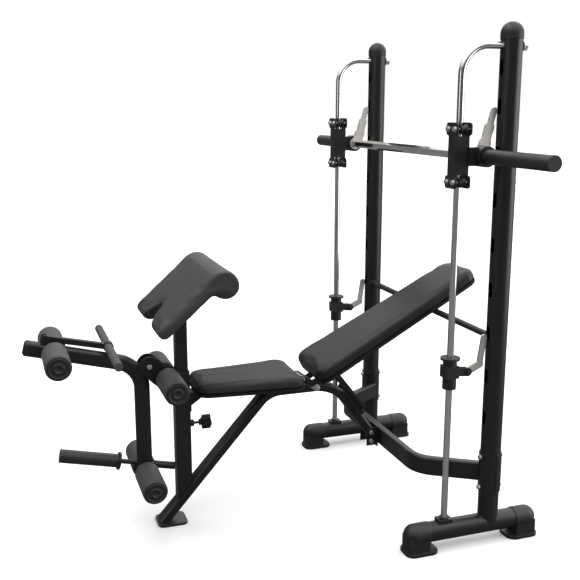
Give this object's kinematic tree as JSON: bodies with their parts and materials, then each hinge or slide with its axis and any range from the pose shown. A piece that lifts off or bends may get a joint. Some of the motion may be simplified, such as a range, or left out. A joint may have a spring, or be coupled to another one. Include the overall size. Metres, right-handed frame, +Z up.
{
  "type": "adjustable weight bench",
  "caption": "Padded weight bench with an inclined back, arm-curl pad, roller leg lever and a bar that slides on guide rods between slotted uprights.",
  "frame": {"origin": "on the floor, under the middle of the whole bench's outline", "axes": "+X across the bench along the bar, +Y lengthwise from the leg lever to the uprights, +Z up"},
  "size_m": [1.854, 1.7732, 1.8282],
  "materials": {
    "frame_paint": "satin black powder coat",
    "cap_plastic": "fine matt black moulding",
    "knob_plastic": "matt black moulding",
    "chrome": "polished plating",
    "zinc": "dull zinc plating",
    "vinyl": "soft satin upholstery vinyl",
    "board": "black covered board",
    "foam": "matt closed-cell foam",
    "grip_rubber": "matt rubber",
    "sleeve_plastic": "matt black moulding"
  },
  "bodies": {
    "frame": {"rack_sides": "frame_paint", "upright_caps": "cap_plastic", "foot_caps": "cap_plastic", "guide_rods": "chrome", "rod_shoes": "frame_paint", "upper_brace": "frame_paint", "cross_tube": "frame_paint", "saddle_plates": "frame_paint", "centre_bracket": "frame_paint", "frame_bolts": "zinc", "bench_tube": "frame_paint", "front_post": "frame_paint", "post_bushing": "cap_plastic", "seat_brackets": "frame_paint", "seat_board": "board", "seat_cushion": "vinyl", "hinge_brackets": "zinc", "prop_ladder": "frame_paint", "lever_clevis": "frame_paint", "post_roller_rod": "chrome", "post_roller_caps": "cap_plastic"},
    "knob": {"locking_knob": "knob_plastic"},
    "backrest": {"back_frame": "frame_paint", "back_board": "board", "back_cushion": "vinyl", "back_pivot_pin": "zinc"},
    "prop": {"prop_strut": "frame_paint"},
    "arm_rest": {"arm_post": "frame_paint", "arm_pad": "vinyl"},
    "lever": {"leg_lever": "frame_paint", "lever_caps": "cap_plastic", "lever_roller_rods": "chrome", "weight_peg": "frame_paint", "peg_sleeve": "sleeve_plastic"},
    "curl": {"curl_arm": "frame_paint", "curl_grips": "grip_rubber"},
    "carriage": {"carriages": "frame_paint", "collar_bushings": "cap_plastic", "carriage_bolts": "zinc"},
    "barbell": {"bar": "chrome", "bar_hooks": "zinc", "bar_sleeves": "sleeve_plastic"},
    "stop_left": {"stop_left": "cap_plastic"},
    "stop_hook_left": {"stop_hook_left": "zinc"},
    "stop_right": {"stop_right": "cap_plastic"},
    "stop_hook_right": {"stop_hook_right": "zinc"},
    "foam_post_left": {"foam_post_left": "foam"},
    "foam_post_right": {"foam_post_right": "foam"},
    "foam_low_left": {"foam_low_left": "foam"},
    "foam_low_right": {"foam_low_right": "foam"},
    "foam_top_left": {"foam_top_left": "foam"},
    "foam_top_right": {"foam_top_right": "foam"},
    "wheel_left_top_inner": {"wheel_left_top_inner": "cap_plastic"},
    "wheel_left_top_outer": {"wheel_left_top_outer": "cap_plastic"},
    "wheel_left_low_inner": {"wheel_left_low_inner": "cap_plastic"},
    "wheel_left_low_outer": {"wheel_left_low_outer": "cap_plastic"},
    "wheel_right_top_inner": {"wheel_right_top_inner": "cap_plastic"},
    "wheel_right_top_outer": {"wheel_right_top_outer": "cap_plastic"},
    "wheel_right_low_inner": {"wheel_right_low_inner": "cap_plastic"},
    "wheel_right_low_outer": {"wheel_right_low_outer": "cap_plastic"}
  },
  "joints": [
    {"name": "backrest_tilt", "type": "hinge", "parent": "frame", "child": "backrest", "pos_m": [0, 0.144, 0.526], "axis": [1, 0, 0], "range_deg": [0, 45]},
    {"name": "prop_swing", "type": "hinge", "parent": "backrest", "child": "prop", "pos_m": [0, 0.2838, 0.5335], "axis": [1, 0, 0], "range_deg": [-55, 5]},
    {"name": "leg_lever_swing", "type": "hinge", "parent": "frame", "child": "lever", "pos_m": [0, -0.446, 0.629], "axis": [1, 0, 0], "range_deg": [-45, 0]},
    {"name": "curl_arm_swing", "type": "hinge", "parent": "lever", "child": "curl", "pos_m": [0, -0.805, 0.764], "axis": [1, 0, 0], "range_deg": [0, 100]},
    {"name": "arm_rest_height", "type": "slide", "parent": "frame", "child": "arm_rest", "axis": [0, 0, 1], "range_m": [-0.05, 0.15]},
    {"name": "knob_turn", "type": "hinge", "parent": "frame", "child": "knob", "pos_m": [0, -0.255, 0.385], "axis": [0, 1, 0], "continuous": true},
    {"name": "carriage_travel", "type": "slide", "parent": "frame", "child": "carriage", "axis": [0, 0, 1], "range_m": [-0.57, 0.14]},
    {"name": "bar_turn", "type": "hinge", "parent": "carriage", "child": "barbell", "pos_m": [0, 0.589, 1.397], "axis": [1, 0, 0], "range_deg": [0, 30]},
    {"name": "stop_travel_left", "type": "slide", "parent": "frame", "child": "stop_left", "axis": [0, 0, 1], "range_m": [-0.3, 0.56]},
    {"name": "stop_hook_swing_left", "type": "hinge", "parent": "stop_left", "child": "stop_hook_left", "pos_m": [-0.52, 0.577, 0.654], "axis": [1, 0, 0], "range_deg": [0, 38]},
    {"name": "stop_travel_right", "type": "slide", "parent": "frame", "child": "stop_right", "axis": [0, 0, 1], "range_m": [-0.3, 0.56]},
    {"name": "stop_hook_swing_right", "type": "hinge", "parent": "stop_right", "child": "stop_hook_right", "pos_m": [0.52, 0.577, 0.654], "axis": [1, 0, 0], "range_deg": [0, 38]},
    {"name": "foam_spin_post_left", "type": "hinge", "parent": "frame", "child": "foam_post_left", "pos_m": [-0.12, -0.382, 0.578], "axis": [1, 0, 0], "continuous": true},
    {"name": "foam_spin_post_right", "type": "hinge", "parent": "frame", "child": "foam_post_right", "pos_m": [0.12, -0.382, 0.578], "axis": [1, 0, 0], "continuous": true},
    {"name": "foam_spin_low_left", "type": "hinge", "parent": "lever", "child": "foam_low_left", "pos_m": [-0.12, -0.47, 0.22], "axis": [1, 0, 0], "continuous": true},
    {"name": "foam_spin_low_right", "type": "hinge", "parent": "lever", "child": "foam_low_right", "pos_m": [0.12, -0.47, 0.22], "axis": [1, 0, 0], "continuous": true},
    {"name": "foam_spin_top_left", "type": "hinge", "parent": "lever", "child": "foam_top_left", "pos_m": [-0.12, -0.777, 0.71], "axis": [1, 0, 0], "continuous": true},
    {"name": "foam_spin_top_right", "type": "hinge", "parent": "lever", "child": "foam_top_right", "pos_m": [0.12, -0.777, 0.71], "axis": [1, 0, 0], "continuous": true},
    {"name": "wheel_spin_left_top_inner", "type": "hinge", "parent": "carriage", "child": "wheel_left_top_inner", "pos_m": [-0.4985, 0.509, 1.486], "axis": [0, 1, 0], "continuous": true},
    {"name": "wheel_spin_left_top_outer", "type": "hinge", "parent": "carriage", "child": "wheel_left_top_outer", "pos_m": [-0.5415, 0.509, 1.486], "axis": [0, 1, 0], "continuous": true},
    {"name": "wheel_spin_left_low_inner", "type": "hinge", "parent": "carriage", "child": "wheel_left_low_inner", "pos_m": [-0.4985, 0.509, 1.314], "axis": [0, 1, 0], "continuous": true},
    {"name": "wheel_spin_left_low_outer", "type": "hinge", "parent": "carriage", "child": "wheel_left_low_outer", "pos_m": [-0.5415, 0.509, 1.314], "axis": [0, 1, 0], "continuous": true},
    {"name": "wheel_spin_right_top_inner", "type": "hinge", "parent": "carriage", "child": "wheel_right_top_inner", "pos_m": [0.4985, 0.509, 1.486], "axis": [0, 1, 0], "continuous": true},
    {"name": "wheel_spin_right_top_outer", "type": "hinge", "parent": "carriage", "child": "wheel_right_top_outer", "pos_m": [0.5415, 0.509, 1.486], "axis": [0, 1, 0], "continuous": true},
    {"name": "wheel_spin_right_low_inner", "type": "hinge", "parent": "carriage", "child": "wheel_right_low_inner", "pos_m": [0.4985, 0.509, 1.314], "axis": [0, 1, 0], "continuous": true},
    {"name": "wheel_spin_right_low_outer", "type": "hinge", "parent": "carriage", "child": "wheel_right_low_outer", "pos_m": [0.5415, 0.509, 1.314], "axis": [0, 1, 0], "continuous": true}
  ],
  "couplings": [
    {"joint": "prop_swing", "follows": "backrest_tilt", "ratio": -1.1}
  ]
}
